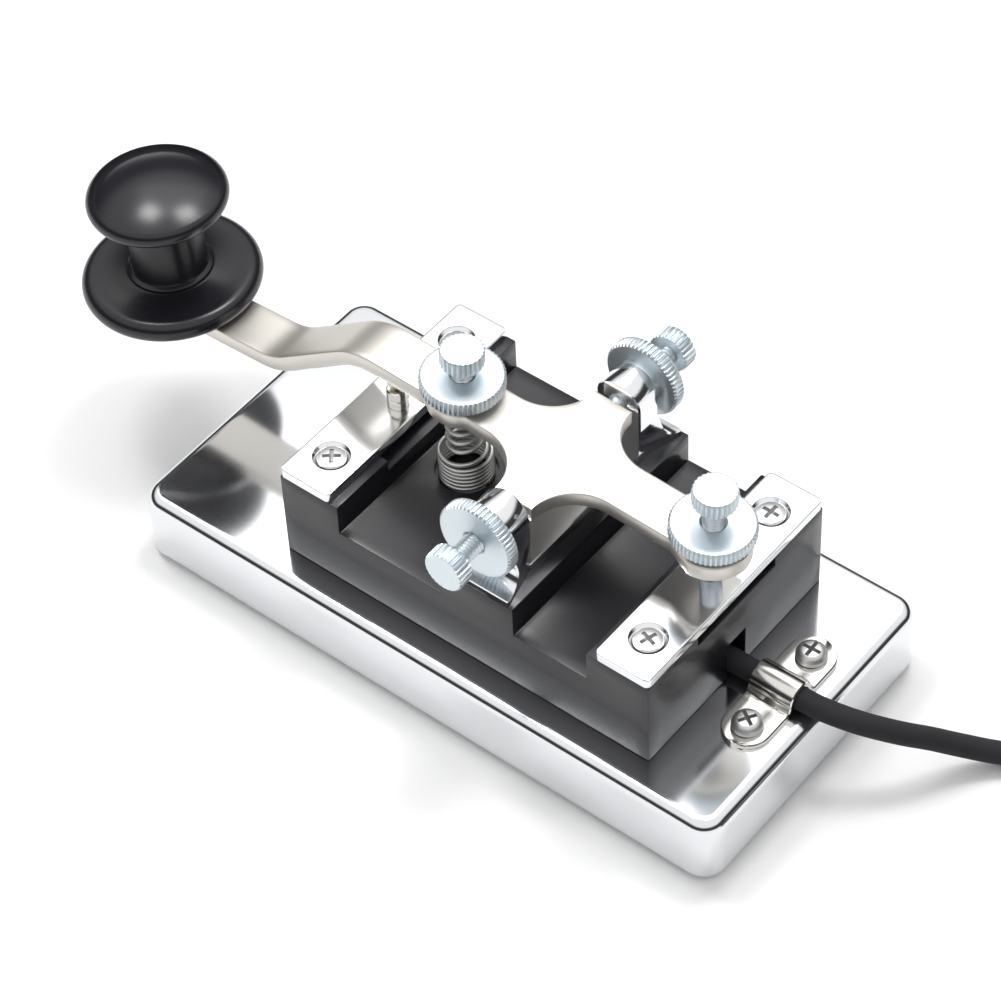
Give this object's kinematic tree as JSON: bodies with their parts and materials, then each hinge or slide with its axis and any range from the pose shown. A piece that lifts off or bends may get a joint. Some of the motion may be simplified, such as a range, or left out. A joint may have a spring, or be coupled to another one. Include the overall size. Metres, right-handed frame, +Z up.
{
  "type": "morse key",
  "caption": "Straight morse key: sprung lever on a trunnion yoke, black body, heavy chromed base, round finger knob, and a line cable with a plug.",
  "frame": {"origin": "on the table, under the middle of the cast base (the middle of the mat's underside)", "axes": "+X along the key towards the cable, with the knob at -X; +Y to the side on which the free cable lies; +Z up"},
  "size_m": [0.2642, 0.08, 0.0592],
  "materials": {
    "chromed_casting": "polished top, satin sides with fine casting specks",
    "black_rubber": "matte moulded",
    "black_bakelite": "glossy moulded, fine dust",
    "polished_chrome": "mirror",
    "steel": "nickel plated, turned",
    "brushed_nickel": "brushed along the lever, fine scratches",
    "zinc": "blue zinc plate, knurled rims",
    "spring_steel": "bright drawn wire",
    "contact_nickel": "turned nickel, worn at the tip",
    "tinned_brass": "dull",
    "red_insulation": "satin",
    "black_gloss": "glossy moulded",
    "polished_nickel": "polished nickel",
    "black_cable": "satin extruded jacket",
    "grey_tie": "woven loop tape",
    "black_plug": "satin moulded"
  },
  "bodies": {
    "key_base": {"base_plate": "chromed_casting", "rubber_mat": "black_rubber", "body_block": "black_bakelite", "body_screws": "steel", "front_plate": "polished_chrome", "rear_plate": "polished_chrome", "plate_screws": "steel", "yoke": "polished_chrome", "yoke_screws": "steel", "return_spring": "spring_steel", "lower_contact": "contact_nickel", "contact_nut": "tinned_brass", "solder_tags": "tinned_brass", "line_wire": "red_insulation", "frame_wire": "black_cable", "cable_clamp": "polished_nickel", "clamp_screws": "steel", "inner_cable": "black_cable", "cable": "black_cable", "cable_coil": "black_cable", "cable_tail": "black_cable", "coil_tie": "grey_tie", "plug_grip": "black_plug", "plug_sleeve": "polished_nickel", "plug_ring": "black_plug", "plug_tip": "polished_nickel"},
    "lever_body": {"lever": "brushed_nickel", "upper_contact": "contact_nickel", "knob": "black_gloss", "knob_screw": "steel"},
    "near_nut": {"near_lock_nut": "zinc"},
    "near_screw_body": {"near_trunnion_screw": "zinc"},
    "far_nut": {"far_lock_nut": "zinc"},
    "far_screw_body": {"far_trunnion_screw": "zinc"},
    "spring_nut": {"spring_lock_nut": "zinc"},
    "spring_screw_body": {"spring_screw": "zinc"},
    "gap_nut": {"gap_lock_nut": "zinc"},
    "gap_screw_body": {"gap_screw": "zinc"}
  },
  "joints": [
    {"name": "lever_rock", "type": "hinge", "parent": "key_base", "child": "lever_body", "pos_m": [0.01, 0, 0.0459], "axis": [0, -1, 0], "range_deg": [0, 0.76], "stiffness_Nm_per_rad": 0.48, "springref_deg": -16.04, "deforming": ["return_spring"]},
    {"name": "near_turn", "type": "hinge", "parent": "key_base", "child": "near_nut", "pos_m": [0.01, -0.0205, 0.0459], "axis": [0, -1, 0], "range_deg": [0, 360]},
    {"name": "near_travel", "type": "slide", "parent": "near_nut", "child": "near_screw_body", "axis": [0, -1, 0], "range_m": [0, 0.0007]},
    {"name": "far_turn", "type": "hinge", "parent": "key_base", "child": "far_nut", "pos_m": [0.01, 0.0205, 0.0459], "axis": [0, 1, 0], "range_deg": [0, 360]},
    {"name": "far_travel", "type": "slide", "parent": "far_nut", "child": "far_screw_body", "axis": [0, 1, 0], "range_m": [0, 0.0007]},
    {"name": "spring_turn", "type": "hinge", "parent": "lever_body", "child": "spring_nut", "pos_m": [-0.01191, 0, 0.04846], "axis": [0.0436, 0, 0.999], "range_deg": [0, 360]},
    {"name": "spring_travel", "type": "slide", "parent": "spring_nut", "child": "spring_screw_body", "axis": [0.0436, 0, 0.999], "range_m": [0, 0.0007]},
    {"name": "gap_turn", "type": "hinge", "parent": "lever_body", "child": "gap_nut", "pos_m": [0.04124, 0, 0.04614], "axis": [0.0436, 0, 0.999], "range_deg": [0, 360]},
    {"name": "gap_travel", "type": "slide", "parent": "gap_nut", "child": "gap_screw_body", "axis": [0.0436, 0, 0.999], "range_m": [0, 0.0007]}
  ],
  "couplings": [
    {"joint": "near_turn", "follows": "near_travel", "rad_per_m": 8976},
    {"joint": "far_turn", "follows": "far_travel", "rad_per_m": 8976},
    {"joint": "spring_turn", "follows": "spring_travel", "rad_per_m": 8976},
    {"joint": "gap_turn", "follows": "gap_travel", "rad_per_m": 8976}
  ]
}
